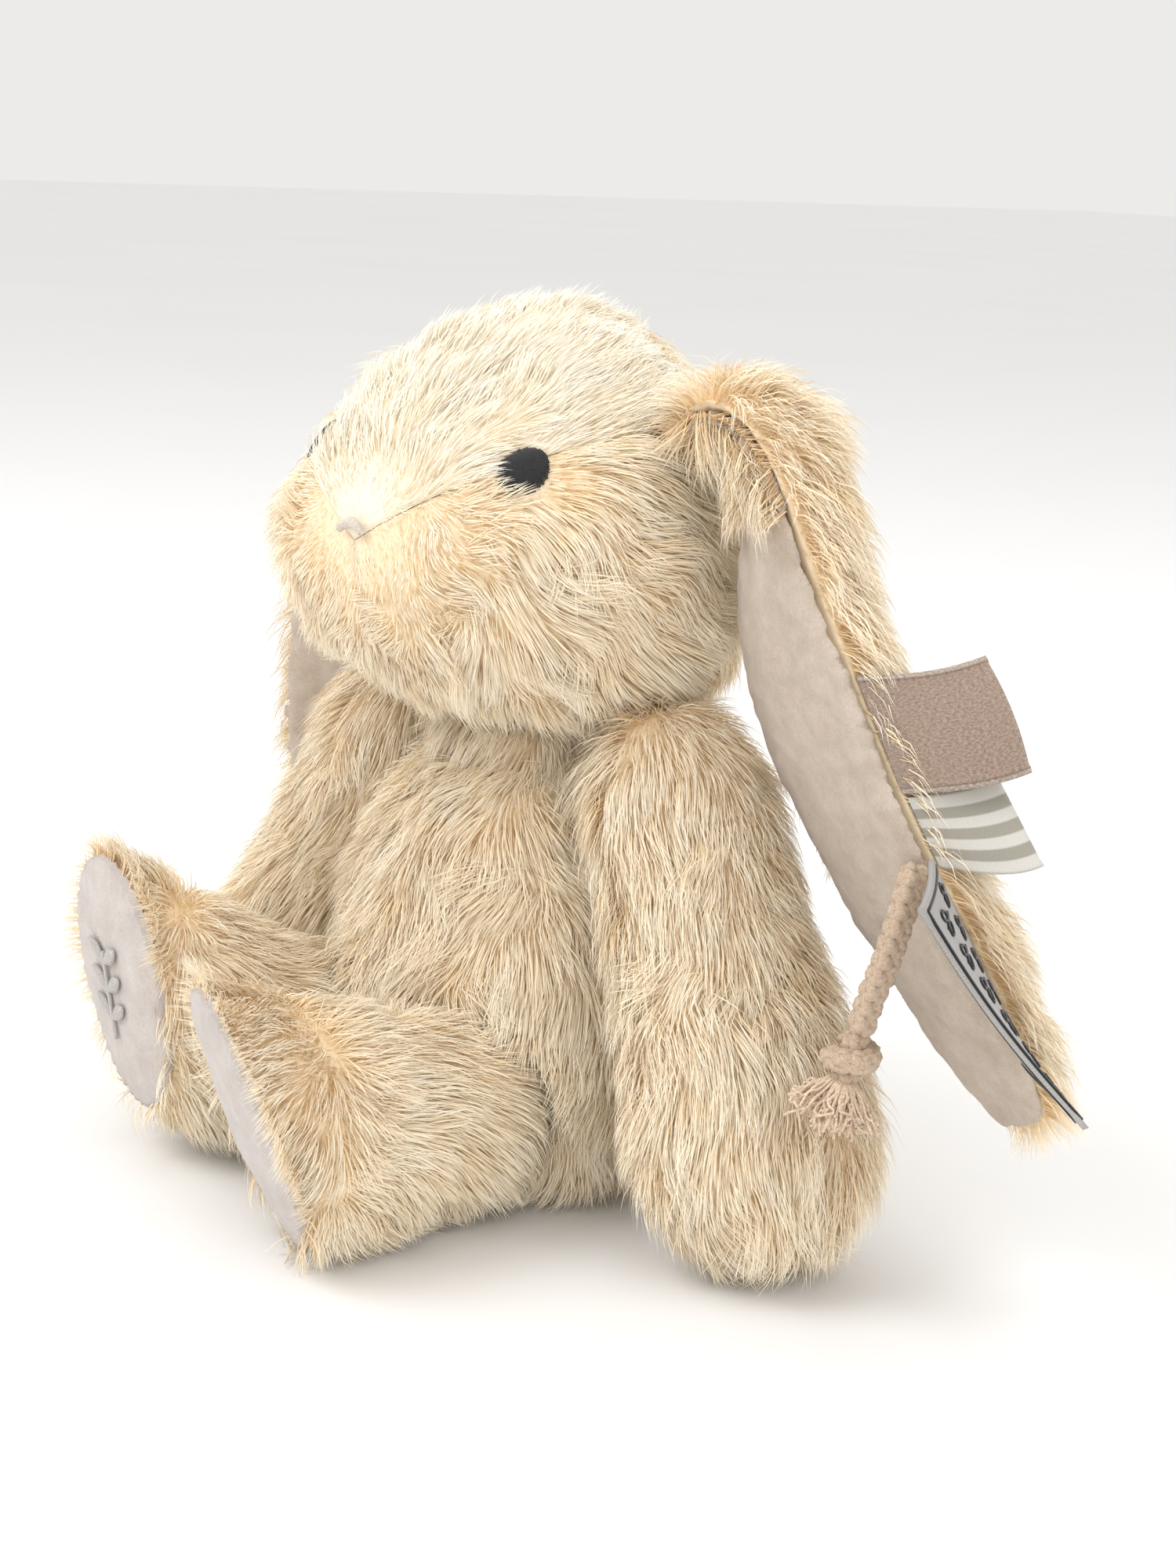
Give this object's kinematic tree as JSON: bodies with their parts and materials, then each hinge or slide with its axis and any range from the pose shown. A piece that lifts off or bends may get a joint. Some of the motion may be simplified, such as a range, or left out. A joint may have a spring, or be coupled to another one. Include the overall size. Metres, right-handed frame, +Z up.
{
  "type": "plush lop-eared bunny",
  "caption": "Seated plush bunny with long lop ears, velour soles and a ribbon, cord and label comforter trim on one ear.",
  "frame": {"origin": "middle of the flat seat panel that the bunny sits on", "axes": "+Z up, the bunny looks along -Y, its left side is +X"},
  "size_m": [0.269, 0.165, 0.2006],
  "materials": {
    "cream_fur": "long soft pile",
    "forehead_fur": "long soft pile, combed back",
    "ear_velour": "short matt velour",
    "sole_velour": "short matt velour",
    "filling": "loose polyester fibre",
    "black_thread": "satin stitch",
    "pearl_thread": "satin stitch",
    "grey_thread": "satin stitch",
    "rose_velour": "short ribbed velour ribbon",
    "striped_satin": "woven satin ribbon with grey stripes",
    "cotton_cord": "braided cotton",
    "cut_cotton": "frayed cotton strands",
    "label_twill": "woven twill with a stitched border",
    "seam_thread": "doubled sewing thread"
  },
  "bodies": {
    "torso": {"torso_front_left": "cream_fur", "torso_front_right": "cream_fur", "torso_back_left": "cream_fur", "torso_back_right": "cream_fur", "torso_base": "cream_fur", "torso_stuffing": "filling", "tail_cover": "cream_fur", "tail_stuffing": "filling"},
    "neck": {"neck_stitches": "seam_thread"},
    "head": {"forehead_gusset": "forehead_fur", "cheek_left": "cream_fur", "cheek_right": "cream_fur", "head_back_left": "cream_fur", "head_back_right": "cream_fur", "head_stuffing": "filling", "eye_left": "black_thread", "eye_right": "black_thread", "nose": "pearl_thread"},
    "arm_left": {"arm_left_outer": "cream_fur", "arm_left_inner": "cream_fur", "arm_left_stuffing": "filling"},
    "arm_right": {"arm_right_outer": "cream_fur", "arm_right_inner": "cream_fur", "arm_right_stuffing": "filling"},
    "leg_left": {"leg_left_outer": "cream_fur", "leg_left_inner": "cream_fur", "leg_left_sole": "sole_velour", "leg_left_stuffing": "filling"},
    "leg_right": {"leg_right_outer": "cream_fur", "leg_right_inner": "cream_fur", "leg_right_sole": "sole_velour", "leg_right_stuffing": "filling", "sole_motif": "grey_thread"},
    "ear_left": {"ear_left_fur": "cream_fur", "ear_left_lining": "ear_velour"},
    "ear_right": {"ear_right_fur": "cream_fur", "ear_right_lining": "ear_velour"},
    "velour_loop": {"velour_loop": "rose_velour"},
    "striped_loop": {"striped_loop": "striped_satin"},
    "woven_label": {"woven_label": "label_twill"},
    "cord": {"cord": "cotton_cord", "cord_knot": "cotton_cord", "cord_fray": "cut_cotton"}
  },
  "joints": [
    {"name": "head_turn", "type": "hinge", "parent": "torso", "child": "neck", "pos_m": [0, 0.003, 0.099], "axis": [0, 0, 1], "range_deg": [-45, 6]},
    {"name": "head_nod", "type": "hinge", "parent": "neck", "child": "head", "pos_m": [0, 0.003, 0.099], "axis": [0.9744, 0.225, 0], "range_deg": [-6, 9]},
    {"name": "arm_left_swing", "type": "hinge", "parent": "torso", "child": "arm_left", "pos_m": [0.033, 0.006, 0.093], "axis": [-1, 0, 0], "range_deg": [-15, 100]},
    {"name": "arm_right_swing", "type": "hinge", "parent": "torso", "child": "arm_right", "pos_m": [-0.033, 0.006, 0.093], "axis": [-1, 0, 0], "range_deg": [-10, 95]},
    {"name": "leg_left_lift", "type": "hinge", "parent": "torso", "child": "leg_left", "pos_m": [0.025, -0.035, 0.025], "axis": [-1, 0, 0], "range_deg": [0, 26]},
    {"name": "leg_right_lift", "type": "hinge", "parent": "torso", "child": "leg_right", "pos_m": [-0.025, -0.035, 0.025], "axis": [-1, 0, 0], "range_deg": [-8, 18]},
    {"name": "ear_left_lift", "type": "hinge", "parent": "head", "child": "ear_left", "pos_m": [0.042, 0.019, 0.179], "axis": [0.225, -0.9744, 0], "range_deg": [0, 45]},
    {"name": "ear_right_lift", "type": "hinge", "parent": "head", "child": "ear_right", "pos_m": [-0.042, 0.006, 0.177], "axis": [-0.225, 0.9744, 0], "range_deg": [0, 45]},
    {"name": "velour_loop_flap", "type": "hinge", "parent": "ear_left", "child": "velour_loop", "pos_m": [0.11253, 0.00816, 0.12338], "axis": [0.4211, 0.2021, -0.8842], "range_deg": [0, 25], "stiffness_Nm_per_rad": 0.003},
    {"name": "striped_loop_flap", "type": "hinge", "parent": "ear_left", "child": "striped_loop", "pos_m": [0.12154, 0.01354, 0.10499], "axis": [0.4263, 0.2662, -0.8646], "range_deg": [0, 25], "stiffness_Nm_per_rad": 0.002},
    {"name": "woven_label_flap", "type": "hinge", "parent": "ear_left", "child": "woven_label", "pos_m": [0.13245, 0.02266, 0.08075], "axis": [0.23, 0.4111, -0.8821], "range_deg": [-20, 20], "stiffness_Nm_per_rad": 0.003},
    {"name": "cord_swing", "type": "hinge", "parent": "ear_left", "child": "cord", "pos_m": [0.1226, 0.0125, 0.0985], "axis": [0.8189, -0.5739, 0], "range_deg": [-12, 15], "stiffness_Nm_per_rad": 0.001}
  ]
}
